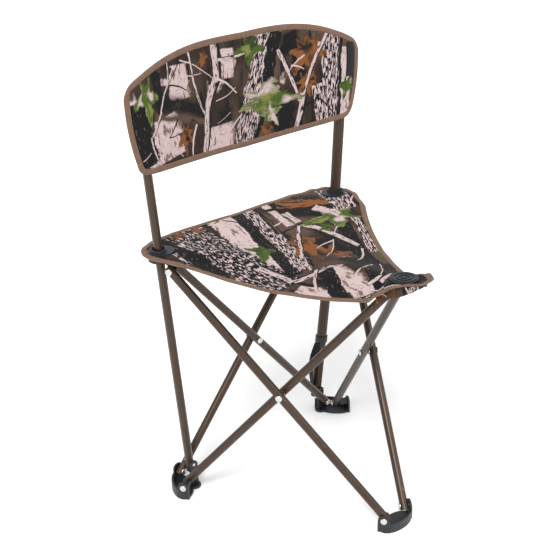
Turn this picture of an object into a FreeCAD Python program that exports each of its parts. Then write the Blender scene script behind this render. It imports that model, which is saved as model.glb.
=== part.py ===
# Three-legged folding stool with a backrest, millimetres, +Z up, front corner towards -Y.
# Six tubes cross in pairs between three feet and three hubs; two posts carry a fabric backrest.
import FreeCAD, Part
import math
import os

V = FreeCAD.Vector

# ---- driving dimensions -------------------------------------------------------------------
AXIS_Y = 58.5            # fore-aft place of the stool's vertical axis in the part's frame
PLAN_R = 241.0           # radius of the circle through the feet and through the hubs
PIVOT_SPREAD = 19.0      # each pivot's distance to the side of its foot or hub centre
FOOT_PIVOT_Z = 24.5
HUB_PIVOT_Z = 483.0
TUBE_R = 8.0
TUBE_WALL = 1.2
TUBE_OFFSET = 9.0        # tube axis to the middle plane of its face
TUBE_TAIL = 8.0          # tube beyond the pivot at each end
RIVET_R = 3.0
RIVET_HEAD_R = 6.5
RIVET_HEAD_H = 2.2
RUNNING_GAP = 0.05       # radial, tube hole on its rivet
OPEN_GAP = 0.4           # radial, at the pivots left open

FOOT_HALF_WIDTH = 40.0   # half of the foot plate's long axis, from ear to ear
FOOT_HALF_DEPTH = 21.0   # half of its short axis, in and out from the stool's axis
FOOT_PLATE_H = 5.0
FOOT_OUT = 7.0           # foot plate centre beyond the pivot circle
FOOT_WALL = 4.0
FOOT_WALL_H = 19.0
EAR_R = 11.5
EAR_T = 4.0

HUB_PLATE_Z = 495.5
HUB_PLATE_R = 26.0
HUB_BASE_TOP = 501.5
HUB_DISC_R = 24.2        # round the posts and under the front cap
HUB_DISC_X = 222.5       # centre of the rear discs, a little inside the posts
HUB_EDGE_R = 224.1       # hubs stop at the cloth's crease
REAR_FABRIC_Z = 508.0    # underside of the seat cloth at the rear hubs
FRONT_FABRIC_Z = 499.5   # underside of the seat cloth at the front hub
LUG_T = 3.6
LUG_R = 9.0

POST_FOOT_X = 193.0
POST_FOOT_Z = 50.0
POST_HUB_X = 226.0
POST_Y = 128.0
POST_TOP_Z = 782.0
POST_BEND_Z = 468.0
LEFT_POST_FOOT_Y = 125.5
RIGHT_POST_FOOT_Y = 151.5
POST_A = 11.0            # half of the oval's long axis
POST_B = 8.2             # half of the oval's short axis
POST_WALL = 1.4
POST_HOLE_GAP = 3.2      # loose fit of the hubs on the posts
POST_PIN_HEAD_H = 0.7    # clears the back face's outer tube as the stool folds

CLOTH_T = 2.4
BIND_W = 10.0
BIND_T = 3.8
SEAT_SIDE = 166.0        # side edges' distance from the axis
SEAT_BACK = 185.0        # back edge's distance from the axis
SEAT_FOLD_R = 224.0      # crease where the cloth bends at each hub
SEAT_CENTRE_Z = 484.0
SIDE_SAG_Z = 473.0
BACK_SAG_Z = 506.0
SPINE_RISE = (0.0, 0.0, 0.5, 1.0)       # how the cloth climbs from the middle to a hub
EDGE_RISE = (0.0, 0.0, 1 / 3.0, 1.0)    # how a hanging edge climbs to a hub
REAR_CORNER_R = 50.0
FRONT_CORNER_R = 30.0

BACKREST_BOTTOM_Z = 655.0
BACKREST_TOP_Z = 867.0
BACKREST_CROWN = 25.0
BACKREST_DIP = 9.0
BACKREST_FLAP = 28.0     # cloth beyond the post
BACKREST_BOW = 29.0
BACKREST_FRONT_Y = 115.4
BACKREST_TOP_CORNER = 26.0
BACKREST_LOW_CORNER = 24.0
SLEEVE_DEPTH = 22.4      # its rear layer, behind the front one
SLEEVE_GAP = 5.1

ANGLE = {"front": -90.0, "right": 30.0, "left": 150.0}
# each tube: foot corner, hub corner, +1 outside its face's middle plane or -1 inside
TUBES = {
    "front_to_left_tube": ("front", "left", 1),
    "front_to_right_tube": ("front", "right", 1),
    "left_to_front_tube": ("left", "front", -1),
    "right_to_front_tube": ("right", "front", -1),
    "left_to_right_tube": ("left", "right", 1),
    "right_to_left_tube": ("right", "left", -1),
}
# tubes whose far hole stays open so that the ring of pivots has no closed loop
OPEN_AT_HUB = ("right_to_front_tube",)
PIECES = {}


# ---- plan geometry ------------------------------------------------------------------------
def polar(radius, degrees, z=0.0):
    a = math.radians(degrees)
    return V(radius * math.cos(a), radius * math.sin(a), z)


def face_normal(one, other):
    mid = polar(1, ANGLE[one]) + polar(1, ANGLE[other])
    return mid.normalize()


def pivot(corner, other, z):
    """Pivot on `corner` of the tube that runs in the face shared with `other`."""
    out = polar(1, ANGLE[corner])
    side = V(-out.y, out.x, 0)
    if side.dot(polar(1, ANGLE[other])) < 0:
        side = side * -1
    return polar(PLAN_R, ANGLE[corner], z) + side * PIVOT_SPREAD


def layer(one, other):
    for foot, hub, side in TUBES.values():
        if (foot, hub) == (one, other):
            return side
    raise ValueError("no tube from %s to %s" % (one, other))


def post_point(side, z):
    """Centre of a post at height z; side is -1 for left and +1 for right."""
    slope = (POST_HUB_X - POST_FOOT_X) / (HUB_PIVOT_Z - POST_FOOT_Z)
    x = POST_FOOT_X + slope * (z - POST_FOOT_Z)
    start = LEFT_POST_FOOT_Y if side < 0 else RIGHT_POST_FOOT_Y
    part = min(1.0, (z - POST_FOOT_Z) / (POST_BEND_Z - POST_FOOT_Z))
    return V(side * x, start + (POST_Y - start) * part, z)


# ---- small solids -------------------------------------------------------------------------
def rod(start, direction, radius, length):
    return Part.makeCylinder(radius, length, start, direction)


def rod_between(a, b, radius):
    return rod(a, b - a, radius, (b - a).Length)


def rivet(centre, axis, low, high, head=RIVET_HEAD_R):
    """Rivet along axis with rounded heads whose inner faces are at low and high."""
    shank = rod(centre + axis * low, axis, RIVET_R, high - low)
    heads = [button(centre + axis * high, axis, head), button(centre + axis * low, axis * -1, head)]
    return shank.fuse(heads).removeSplitter()


def button(base, axis, radius):
    """Low round head with its outer edge rounded over."""
    head = rod(base, axis, radius, RIVET_HEAD_H)
    crown = base + axis * RIVET_HEAD_H
    edges = [e for e in head.Edges if e.BoundBox.Center.distanceToPoint(crown) < 0.01]
    return head.makeFillet(RIVET_HEAD_H * 0.8, edges)


def oval_wire(centre, turn, a, b, axis=V(0, 0, 1)):
    oval = Part.Ellipse(V(0, 0, 0), a, b).toShape()
    oval.rotate(V(0, 0, 0), V(0, 0, 1), turn)
    oval.Placement = FreeCAD.Placement(centre, FreeCAD.Rotation(V(0, 0, 1), axis)) * oval.Placement
    return Part.Wire([oval])


def post_turn(side):
    return 90.0 + side * 30.0


def oval_bar(side, stations, a, b):
    """Straight-sided oval bar through the post's centre at each height."""
    wires = [oval_wire(post_point(side, z), post_turn(side), a, b) for z in stations]
    return Part.makeLoft(wires, True, True)


def block(low, high):
    size = high - low
    return Part.makeBox(size.x, size.y, size.z, low)


def save(name, shape):
    PIECES[name] = shape


# ---- tubes --------------------------------------------------------------------------------
def tube_axis(name):
    foot, hub, side = TUBES[name]
    shift = face_normal(foot, hub) * (side * TUBE_OFFSET)
    return pivot(foot, hub, FOOT_PIVOT_Z) + shift, pivot(hub, foot, HUB_PIVOT_Z) + shift


def leg_tube(name):
    foot, hub, side = TUBES[name]
    low, high = tube_axis(name)
    run = (high - low).normalize()
    body = rod_between(low - run * TUBE_TAIL, high + run * TUBE_TAIL, TUBE_R)
    bore = rod_between(low - run * (TUBE_TAIL + 1), high + run * (TUBE_TAIL + 1), TUBE_R - TUBE_WALL)
    normal = face_normal(foot, hub)
    hub_gap = OPEN_GAP if name in OPEN_AT_HUB else RUNNING_GAP
    mid_gap = OPEN_GAP if side < 0 else 0.0
    cuts = [bore]
    for point, gap in ((low, RUNNING_GAP), (high, hub_gap), ((low + high) * 0.5, mid_gap)):
        cuts.append(rod(point - normal * 12, normal, RIVET_R + gap, 24))
    save(name, body.cut(cuts))


def crossing(name, one, other):
    """Rivet through the middle of one crossed pair, with the washer between its tubes."""
    normal = face_normal(one, other)
    centre = (pivot(one, other, FOOT_PIVOT_Z) + pivot(other, one, HUB_PIVOT_Z)) * 0.5
    reach = TUBE_OFFSET + TUBE_R
    save(name + "_cross_rivet", rivet(centre, normal, -reach - 0.3, reach))
    gap = TUBE_OFFSET - TUBE_R
    washer = rod(centre - normal * (gap - 0.3), normal, 6.0, 2 * gap - 0.3)
    save(name + "_cross_washer", washer.cut(rod(centre - normal * 4, normal, RIVET_R, 8)))


# ---- feet ---------------------------------------------------------------------------------
def ear_start(corner, other):
    """Inner face of a foot's ear; the right foot's back ear stays inside its post."""
    side = -1 if (corner, other) == ("right", "left") else 1
    return TUBE_OFFSET * side + TUBE_R + 0.5


def foot_ear(corner, other):
    """Round ear standing on the plate outside the tube, and its boss inwards to the tube."""
    normal = face_normal(corner, other)
    side = layer(corner, other)
    centre = pivot(corner, other, FOOT_PIVOT_Z)
    inner = TUBE_OFFSET * side + TUBE_R + 0.5
    outer = ear_start(corner, other)
    ear = rod(centre + normal * outer, normal, EAR_R, EAR_T)
    along = V(-normal.y, normal.x, 0)
    base = centre + normal * outer
    corners = [base + along * EAR_R, base - along * EAR_R]
    corners += [corners[1] - V(0, 0, FOOT_PIVOT_Z), corners[0] - V(0, 0, FOOT_PIVOT_Z)]
    slab = Part.Face(Part.makePolygon(corners + [corners[0]])).extrude(normal * EAR_T)
    pieces = [ear, slab]
    if outer - inner > 1:
        pieces.append(rod(centre + normal * inner, normal, 8.0, outer - inner))
    return pieces


def foot_oval(corner, inset, height):
    """Oval block as wide as the foot's two ears, standing on the ground."""
    centre = polar(PLAN_R + FOOT_OUT, ANGLE[corner])
    wire = oval_wire(centre, ANGLE[corner] + 90, FOOT_HALF_WIDTH - inset, FOOT_HALF_DEPTH - inset)
    return Part.Face(wire).extrude(V(0, 0, height))


def foot_wall(corner):
    """Wall along the plate's outer side."""
    ring = foot_oval(corner, 0, FOOT_WALL_H).cut(foot_oval(corner, FOOT_WALL, FOOT_WALL_H))
    outer = block(V(PLAN_R + FOOT_OUT, -60, -1), V(PLAN_R + FOOT_OUT + 60, 60, FOOT_WALL_H + 1))
    outer.rotate(V(0, 0, 0), V(0, 0, 1), ANGLE[corner])
    return ring.common(outer)


def foot_plate(corner):
    plate = foot_oval(corner, 0, FOOT_PLATE_H)
    edges = [e for e in plate.Edges if e.BoundBox.ZMin > FOOT_PLATE_H - 0.1]
    return plate.makeFillet(1.5, edges)


def post_lug(side):
    """Upright that holds a post's pin: inside the left post, between tube and post on the right."""
    start = post_point(side, POST_FOOT_Z)
    reach = math.hypot(POST_A * 0.866, POST_B * 0.5) + 0.6
    face = start.y - reach
    low = V(start.x - 9, face - 3.4, 0)
    upright = block(low, V(start.x + 9, face, POST_FOOT_Z))
    top = rod(V(start.x, face - 3.4, POST_FOOT_Z), V(0, 1, 0), 9.0, 3.4)
    pad = Part.makeCylinder(12.5, FOOT_PLATE_H, V(start.x, face - 1.7, 0))
    return [upright, top, pad]


def foot(corner):
    others = [c for c in ANGLE if c != corner]
    shape = foot_plate(corner).fuse([foot_wall(corner)])
    for other in others:
        shape = shape.fuse(foot_ear(corner, other))
    if corner != "front":
        side = -1 if corner == "left" else 1
        shape = shape.fuse(post_lug(side))
        pin = post_point(side, POST_FOOT_Z)
        shape = shape.cut(rod(pin - V(0, 30, 0), V(0, 1, 0), RIVET_R, 60))
    for other in others:
        normal = face_normal(corner, other)
        centre = pivot(corner, other, FOOT_PIVOT_Z)
        low, high = foot_rivet_ends(corner, other)
        room = RIVET_HEAD_H + 0.15
        shape = shape.cut([
            rod(centre - normal * 3, normal, RIVET_R, 40),
            rod(centre + normal * (low - room), normal, RIVET_HEAD_R + 0.2, room),
            rod(centre + normal * high, normal, RIVET_HEAD_R + 0.2, room),
        ])
    save(corner + "_foot", shape.removeSplitter())


def foot_rivet_ends(corner, other):
    """Inner faces of a foot rivet's two heads, along the face's normal."""
    low = TUBE_OFFSET * layer(corner, other) - TUBE_R - 0.3
    return low, ear_start(corner, other) + EAR_T


def foot_rivets(corner):
    solids = []
    for other in ANGLE:
        if other != corner:
            normal = face_normal(corner, other)
            low, high = foot_rivet_ends(corner, other)
            solids.append(rivet(pivot(corner, other, FOOT_PIVOT_Z), normal, low, high))
    save(corner + "_foot_rivets", Part.makeCompound(solids))


# ---- hubs ---------------------------------------------------------------------------------
def hub_lug(corner, other, top):
    """Lug down the middle plane of a face, beside its tube."""
    normal = face_normal(corner, other)
    centre = pivot(corner, other, HUB_PIVOT_Z)
    side = layer(other, corner)
    start = -(LUG_T - 0.6) if side > 0 else -0.6
    disc = rod(centre + normal * start, normal, LUG_R, LUG_T)
    along = V(-normal.y, normal.x, 0)
    base = centre + normal * start
    low = [base + along * LUG_R, base - along * LUG_R]
    rise = V(0, 0, top - HUB_PIVOT_Z)
    ring = low + [low[1] + rise, low[0] + rise, low[0]]
    return [disc, Part.Face(Part.makePolygon(ring)).extrude(normal * LUG_T)]


def post_hole(side, low, high, gap=POST_HOLE_GAP):
    return oval_bar(side, [low, high], POST_A + gap, POST_B + gap)


def hub_disc(corner, low, high, radius):
    if corner == "front":
        return Part.makeCylinder(radius, high - low, V(0, -PLAN_R - 9, low))
    side = -1 if corner == "left" else 1
    return Part.makeCylinder(radius, high - low, V(side * HUB_DISC_X, POST_Y, low))


def hub(corner):
    top = FRONT_FABRIC_Z if corner == "front" else REAR_FABRIC_Z
    base = polar(PLAN_R, ANGLE[corner], HUB_PLATE_Z)
    shape = Part.makeCylinder(HUB_PLATE_R, min(top, HUB_BASE_TOP) - HUB_PLATE_Z, base)
    shape = shape.fuse([hub_disc(corner, HUB_PLATE_Z, top, HUB_DISC_R)])
    for other in ANGLE:
        if other != corner:
            shape = shape.fuse(hub_lug(corner, other, HUB_PLATE_Z + 2))
    for other in ANGLE:
        if other != corner:
            normal = face_normal(corner, other)
            hole = rod(pivot(corner, other, HUB_PIVOT_Z) - normal * 9, normal, RIVET_R, 18)
            shape = shape.cut(hole)
    shape = shape.cut(inside_crease(corner))
    if corner != "front":
        side = -1 if corner == "left" else 1
        shape = shape.cut(post_hole(side, HUB_PLATE_Z - 25, top + 2))
    save(corner + "_hub", shape.removeSplitter())


def inside_crease(corner):
    """Everything nearer to the stool's axis than a hub may reach."""
    space = block(V(HUB_EDGE_R - 60, -60, HUB_PLATE_Z - 40), V(HUB_EDGE_R, 60, HUB_PLATE_Z + 40))
    space.rotate(V(0, 0, 0), V(0, 0, 1), ANGLE[corner])
    return space


def hub_rivets(corner):
    solids = []
    for other in ANGLE:
        if other != corner:
            normal = face_normal(corner, other)
            side = layer(other, corner)
            far = TUBE_OFFSET + TUBE_R + 0.3
            near = LUG_T - 0.6
            low, high = (-near, far) if side > 0 else (-far, near)
            solids.append(rivet(pivot(corner, other, HUB_PIVOT_Z), normal, low, high))
    save(corner + "_hub_rivets", Part.makeCompound(solids))


def collar(corner):
    """Flanged ring clamping the seat cloth round a post."""
    side = -1 if corner == "left" else 1
    low = REAR_FABRIC_Z + CLOTH_T
    flange = hub_disc(corner, low, low + 3.2, HUB_DISC_R)
    neck = oval_bar(side, [low, low + 8.6], POST_A + POST_HOLE_GAP + 3, POST_B + POST_HOLE_GAP + 3)
    shape = flange.fuse([neck]).cut(post_hole(side, low - 1, low + 10))
    save(corner + "_collar", shape.removeSplitter())


def front_cap():
    low = FRONT_FABRIC_Z + CLOTH_T
    shape = hub_disc("front", low, low + 2.6, 25.0)
    for outer, inner, height in ((21.0, 17.0, 3.6), (12.5, 9.0, 4.0)):
        ring = hub_disc("front", low, low + height, outer)
        shape = shape.fuse([ring.cut(hub_disc("front", low - 1, low + 9, inner))])
    shape = shape.fuse([hub_disc("front", low, low + 4.0, 4.5)])
    save("front_cap", shape.removeSplitter())


# ---- posts --------------------------------------------------------------------------------
def post(side, name):
    stations = [POST_FOOT_Z - 13, POST_BEND_Z, POST_TOP_Z]
    body = oval_bar(side, stations, POST_A, POST_B)
    stations[0] -= 1
    stations[-1] += 1
    bore = oval_bar(side, stations, POST_A - POST_WALL, POST_B - POST_WALL)
    pin = post_point(side, POST_FOOT_Z)
    hole = rod(pin - V(0, 14, 0), V(0, 1, 0), RIVET_R + RUNNING_GAP, 28)
    save(name + "_post", body.cut([bore, hole]))
    plug = oval_bar(side, [POST_TOP_Z, POST_TOP_Z + 3], POST_A, POST_B)
    stem = oval_bar(side, [POST_TOP_Z - 14, POST_TOP_Z + 1], POST_A - POST_WALL, POST_B - POST_WALL)
    save(name + "_post_plug", plug.fuse([stem]).removeSplitter())
    heel = oval_bar(side, [POST_FOOT_Z - 17, POST_FOOT_Z - 13], POST_A, POST_B)
    low = POST_FOOT_Z - 14
    stem = oval_bar(side, [low, low + 8], POST_A - POST_WALL, POST_B - POST_WALL)
    save(name + "_post_heel", heel.fuse([stem]).removeSplitter())


def post_pin(side, name):
    """Pin with a thin head behind the post; its other end is flush with the foot's upright."""
    centre = post_point(side, POST_FOOT_Z)
    back = V(0, 1, 0)
    reach = math.hypot(POST_A * 0.866, POST_B * 0.5) + 0.4
    shank = rod(centre - back * (reach + 3.6), back, RIVET_R, 2 * reach + 3.6)
    head = rod(centre + back * reach, back, 5.5, POST_PIN_HEAD_H)
    save(name + "_post_pin", shank.fuse([head]).removeSplitter())


# ---- cloth --------------------------------------------------------------------------------
def surface(grid):
    """Smooth surface through a grid of points."""
    sheet = Part.BSplineSurface()
    sheet.interpolate(grid)
    return sheet


def bezier(poles):
    """Smooth surface held by a small grid of poles."""
    sheet = Part.BezierSurface()
    sheet.increase(len(poles) - 1, len(poles[0]) - 1)
    for i, row in enumerate(poles):
        for j, pole in enumerate(row):
            sheet.setPole(i + 1, j + 1, pole)
    return sheet


def rim(top, bottom, side):
    """Ruled face joining the same edge of an upper and a lower surface."""
    u0, u1, v0, v1 = top.bounds()
    iso = {"u0": ("uIso", u0), "u1": ("uIso", u1), "v0": ("vIso", v0), "v1": ("vIso", v1)}
    call, value = iso[side]
    edges = [getattr(s, call)(value).toShape() for s in (top, bottom)]
    return Part.makeRuledSurface(edges[0], edges[1])


def cloth(patches, lift, make=surface):
    """Solid sheet from grids of middle points; each patch lists its free sides."""
    faces = []
    for grid, sides in patches:
        top = make([[p + lift for p in row] for row in grid])
        low = make([[p - lift for p in row] for row in grid])
        faces += [top.toShape(), low.toShape()]
        faces += [rim(top, low, side) for side in sides]
    shell = Part.makeShell(faces)
    shell.sewShape()
    solid = Part.makeSolid(Part.Shell(shell.Faces))
    if solid.Volume < 0:
        solid.reverse()
    return solid


def corner_z(corner):
    start = FRONT_FABRIC_Z if corner == "front" else REAR_FABRIC_Z
    return start + CLOTH_T / 2


def edge_data(one, other):
    """Distance of a seat edge from the axis, and its height at mid span."""
    if "front" in (one, other):
        return SEAT_SIDE, SIDE_SAG_Z
    return SEAT_BACK, BACK_SAG_Z


def crease_width(distance):
    return (distance - 0.5 * SEAT_FOLD_R) / math.sin(math.radians(60))


def crease_end(corner, other, inset):
    """Where the crease of a corner meets the edge shared with another corner."""
    out = polar(1, ANGLE[corner])
    side = V(-out.y, out.x, 0)
    if side.dot(polar(1, ANGLE[other])) < 0:
        side = side * -1
    distance = edge_data(corner, other)[0] - inset
    return out * SEAT_FOLD_R + side * crease_width(distance)


def edge_poles(corner, other, inset):
    """Poles of a seat edge from its sagging middle up to the crease at a corner."""
    distance, sag = edge_data(corner, other)
    mid = face_normal(corner, other) * (distance - inset)
    run = crease_end(corner, other, inset) - mid
    rise = corner_z(corner) - sag
    return [mid + run * (k / 3.0) + V(0, 0, sag + rise * share) for k, share in enumerate(EDGE_RISE)]


def spine_poles(corner):
    rise = corner_z(corner) - SEAT_CENTRE_Z
    run = polar(SEAT_FOLD_R, ANGLE[corner])
    return [run * (k / 3.0) + V(0, 0, SEAT_CENTRE_Z + rise * s) for k, s in enumerate(SPINE_RISE)]


def half_panel(corner, other):
    """Poles from a corner's spine across to the edge it shares with another corner."""
    spine = spine_poles(corner)
    edge = edge_poles(corner, other, BIND_W)
    grid = []
    for across, height in ((0.0, 0.0), (1 / 3.0, 0.0), (2 / 3.0, 1.0), (1.0, 1.0)):
        row = []
        for a, b in zip(spine, edge):
            plan = a + (b - a) * across
            row.append(V(plan.x, plan.y, a.z + (b.z - a.z) * height))
        grid.append(row)
    return grid


def seat_panel(corner):
    others = [c for c in ANGLE if c != corner]
    patches = [(half_panel(corner, other), ("u1", "v0", "v1")) for other in others]
    save("seat_%s_panel" % corner, cloth(patches, V(0, 0, CLOTH_T / 2), bezier))
    strips = []
    for other in others:
        rows = [edge_poles(corner, other, inset) for inset in (BIND_W - 0.1, 0.0)]
        strips.append(cloth([(rows, ("u0", "u1", "v0", "v1"))], V(0, 0, BIND_T / 2), bezier))
    save("seat_%s_panel_binding" % corner, Part.makeCompound(strips))


def corner_outline(corner, inset, radius):
    """Closed flat outline of a seat corner, from crease to rounded tip."""
    one, other = [c for c in ANGLE if c != corner]
    a = crease_end(corner, one, inset)
    b = crease_end(corner, other, inset)
    along_a = face_run(corner, one)
    along_b = face_run(corner, other)
    apex = meet(a, along_a, b, along_b)
    reach = radius / math.tan(math.radians(30))
    start = apex - along_a * reach
    end = apex - along_b * reach
    inward = (polar(1, ANGLE[corner]) * -1 if corner == "front" else bisector(along_a, along_b))
    top = apex + inward * (radius / math.sin(math.radians(30)) - radius)
    edges = [Part.makeLine(a, start), Part.Arc(start, top, end).toShape()]
    edges += [Part.makeLine(end, b), Part.makeLine(b, a)]
    return Part.Wire(edges)


def face_run(corner, other):
    """Direction along a face towards its corner."""
    run = polar(1, ANGLE[corner]) - polar(1, ANGLE[other])
    return run.normalize()


def bisector(one, other):
    return ((one + other) * -1).normalize()


def meet(a, along_a, b, along_b):
    cross = along_a.x * along_b.y - along_a.y * along_b.x
    t = ((b.x - a.x) * along_b.y - (b.y - a.y) * along_b.x) / cross
    return a + along_a * t


def seat_corner(corner):
    radius = FRONT_CORNER_R if corner == "front" else REAR_CORNER_R
    z = corner_z(corner)
    inner = Part.Face(corner_outline(corner, BIND_W, radius - BIND_W))
    sheet = inner.extrude(V(0, 0, CLOTH_T))
    sheet.translate(V(0, 0, z - CLOTH_T / 2))
    if corner != "front":
        side = -1 if corner == "left" else 1
        sheet = sheet.cut(post_hole(side, z - 5, z + 5))
    save("seat_%s_corner" % corner, sheet)
    outer = Part.Face(corner_outline(corner, 0.0, radius)).extrude(V(0, 0, BIND_T))
    middle = Part.Face(corner_outline(corner, BIND_W - 0.1, radius - BIND_W + 0.1))
    ring = outer.cut(middle.extrude(V(0, 0, BIND_T)))
    ring.translate(V(0, 0, z - BIND_T / 2))
    save("seat_%s_corner_binding" % corner, ring)


def front_pocket():
    """Doubled cloth skirt under the seat's front corner, in front of the tube ends."""
    low = FRONT_FABRIC_Z - 20
    outer = Part.Face(corner_outline("front", 9.0, 21.0)).extrude(V(0, 0, 19.2))
    inner = Part.Face(corner_outline("front", 11.4, 18.6)).extrude(V(0, 0, 19.2))
    open_side = block(V(-90, -PLAN_R - 6, -1), V(90, 0, 21))
    skirt = outer.cut([inner, open_side])
    skirt.translate(V(0, 0, low))
    save("front_pocket", skirt)


# ---- backrest -----------------------------------------------------------------------------
def flap_end(z):
    return post_point(1, z).x + BACKREST_FLAP


def backrest_y(x, z):
    part = min(1.0, abs(x) / (flap_end(z) - BACKREST_FLAP - 4))
    return BACKREST_FRONT_Y + BACKREST_BOW * (1 - part * part) ** 1.5


def round_drop(gap, radius):
    if gap >= radius:
        return 0.0
    return radius - math.sqrt(max(0.0, radius * radius - (radius - gap) ** 2))


def backrest_top(x, inset):
    end = flap_end(BACKREST_TOP_Z - 40) - inset
    crown = BACKREST_TOP_Z - inset - BACKREST_CROWN * (x / 230.0) ** 3
    return crown - round_drop(end - x, BACKREST_TOP_CORNER - inset)


def backrest_bottom(x, inset):
    end = flap_end(BACKREST_BOTTOM_Z + 30) - inset
    dip = BACKREST_BOTTOM_Z + inset + BACKREST_DIP * (x / 224.0) ** 2
    return dip + round_drop(end - x, BACKREST_LOW_CORNER - inset)


def backrest_point(side, x, z):
    return V(side * x, backrest_y(x, z), z)


def backrest_row(side, part, inset, count=11):
    """Points from bottom to top at a share `part` of the way out from the middle."""
    low_end = flap_end(BACKREST_BOTTOM_Z + 30) - inset
    top_end = flap_end(BACKREST_TOP_Z - 40) - inset
    z0 = backrest_bottom(low_end * part, inset)
    z1 = backrest_top(top_end * part, inset)
    row = []
    for j in range(count):
        t = j / (count - 1.0)
        x = (low_end + (top_end - low_end) * t) * part
        row.append(backrest_point(side, x, z0 + (z1 - z0) * t))
    return row


def backrest_shares(inset):
    end = flap_end(BACKREST_TOP_Z - 40) - inset
    start = 1 - (BACKREST_TOP_CORNER - inset) / end
    shares = [start * k / 9.0 for k in range(10)]
    for k in range(1, 7):
        shares.append(start + (1 - start) * math.sin(math.radians(90) * k / 6.0))
    return shares


def sleeve_back(side):
    """Rear layer of the pocket that each post runs up inside."""
    rows = []
    for k in range(9):
        t = k / 8.0
        row = []
        for z in (690.0, 724.0, 758.0, 792.0):
            x = post_point(1, z).x - 21 + 42 * t
            depth = SLEEVE_DEPTH * math.sin(math.pi * t) ** 0.6
            row.append(V(side * x, backrest_y(x, z) + SLEEVE_GAP + depth, z))
        rows.append(row)
    return cloth([(rows, ("u0", "u1", "v0", "v1"))], V(0, 0.9, 0))


def backrest_half(side, name):
    grid = [backrest_row(side, part, BIND_W) for part in backrest_shares(BIND_W)]
    front = cloth([(grid, ("u0", "u1", "v0", "v1"))], V(0, CLOTH_T / 2, 0))
    save("backrest_%s_half" % name, front)
    save("backrest_%s_sleeve" % name, sleeve_back(side))
    outer = binding_path(side, 0.0)
    middle = binding_path(side, BIND_W / 2)
    inner = binding_path(side, BIND_W - 0.4)
    band = cloth([([inner, middle, outer], ("u0", "u1", "v0", "v1"))], V(0, BIND_T / 2, 0))
    save("backrest_%s_binding" % name, band)


def binding_path(side, inset):
    """Middle of the bottom edge, out round the end, and back along the top."""
    shares = backrest_shares(inset)
    low = [backrest_row(side, part, inset)[0] for part in shares]
    top = [backrest_row(side, part, inset)[-1] for part in reversed(shares)]
    rise = []
    for k in (1, 2, 3):
        rise.append(low[-1] + (top[0] - low[-1]) * (k / 4.0))
    return low + rise + top


def backrest_tag():
    """Blank label sewn over the right end of the backrest."""
    z0, z1 = 752.0, 818.0
    rows = []
    for k in range(3):
        rows.append([backrest_point(1, flap_end(z) - 34 + 11 * k, z) for z in (z0, 785.0, z1)])
    tag = cloth([(rows, ("u0", "u1", "v0", "v1"))], V(0, 0.7, 0))
    tag.translate(V(0, -BIND_T / 2 - 0.8, 0))
    save("backrest_tag", tag)


# ---- storage strap ------------------------------------------------------------------------
def strap():
    """Webbing strap held against the right post by a clip at its top."""
    low, high = 60.0, 168.0
    rows = []
    for offset in (-9.0, 9.0):
        row = []
        for k in range(7):
            z = low + (high - low) * k / 6.0
            bulge = 13.0 * math.sin(math.pi * k / 6.0)
            p = post_point(1, z)
            row.append(V(p.x - 11.5 - bulge, p.y + offset * 0.75, z))
        rows.append(row)
    save("storage_strap", cloth([(rows, ("u0", "u1", "v0", "v1"))], V(0.8, 0, 0)))
    wide = oval_bar(1, [high + 0.3, high + 15], POST_A + 2.4, POST_B + 2.4)
    hole = oval_bar(1, [high - 1, high + 16], POST_A + 0.02, POST_B + 0.02)
    save("strap_clip", wide.cut(hole))


def build():
    for name in TUBES:
        leg_tube(name)
    crossing("left_face", "front", "left")
    crossing("right_face", "front", "right")
    crossing("back_face", "right", "left")
    for corner in ANGLE:
        foot(corner)
        foot_rivets(corner)
        hub(corner)
        hub_rivets(corner)
        seat_panel(corner)
        seat_corner(corner)
    for side, name in ((-1, "left"), (1, "right")):
        collar(name)
        post(side, name)
        post_pin(side, name)
        backrest_half(side, name)
    front_cap()
    front_pocket()
    backrest_tag()
    strap()


build()
os.makedirs("parts", exist_ok=True)
for piece_name, piece in PIECES.items():
    piece.translate(V(0, AXIS_Y, 0))
    piece.exportStep("parts/%s.step" % piece_name)
    state = "ok" if piece.isValid() else "NOT VALID"
    print("%-30s %s solids %d volume %.0f" % (piece_name, state, len(piece.Solids), piece.Volume))
low_y = min(p.BoundBox.YMin for p in PIECES.values())
high_y = max(p.BoundBox.YMax for p in PIECES.values())
print("depth from %.1f to %.1f" % (low_y, high_y))
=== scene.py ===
# Finish of the three-legged folding stool: cloth, tape, paint, plastic, light and camera.
# Metres, same frame as the part. Shapes are worked out round the stool's vertical axis.
import bpy
import math
from mathutils import Matrix, Vector, noise


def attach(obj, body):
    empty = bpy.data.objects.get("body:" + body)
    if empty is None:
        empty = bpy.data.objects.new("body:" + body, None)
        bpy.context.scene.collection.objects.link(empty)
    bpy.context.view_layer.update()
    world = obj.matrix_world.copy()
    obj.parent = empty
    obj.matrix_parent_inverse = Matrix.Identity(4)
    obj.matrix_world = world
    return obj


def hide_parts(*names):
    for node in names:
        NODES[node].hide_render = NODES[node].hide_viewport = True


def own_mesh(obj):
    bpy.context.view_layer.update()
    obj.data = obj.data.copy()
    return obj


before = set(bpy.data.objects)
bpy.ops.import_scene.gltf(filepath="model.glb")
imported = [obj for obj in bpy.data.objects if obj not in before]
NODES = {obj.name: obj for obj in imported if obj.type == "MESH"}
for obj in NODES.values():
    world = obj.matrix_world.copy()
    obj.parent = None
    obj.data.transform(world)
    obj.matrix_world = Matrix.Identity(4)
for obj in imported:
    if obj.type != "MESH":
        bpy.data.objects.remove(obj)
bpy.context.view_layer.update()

# ---- sizes --------------------------------------------------------------------------------
AXIS_Y = 0.0585          # fore-aft place of the stool's axis
HUB_ANGLE = {"front": -90.0, "right": 30.0, "left": 150.0}
SIDE_EDGE = 0.163        # middle of the seat's side edges, from the axis
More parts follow.
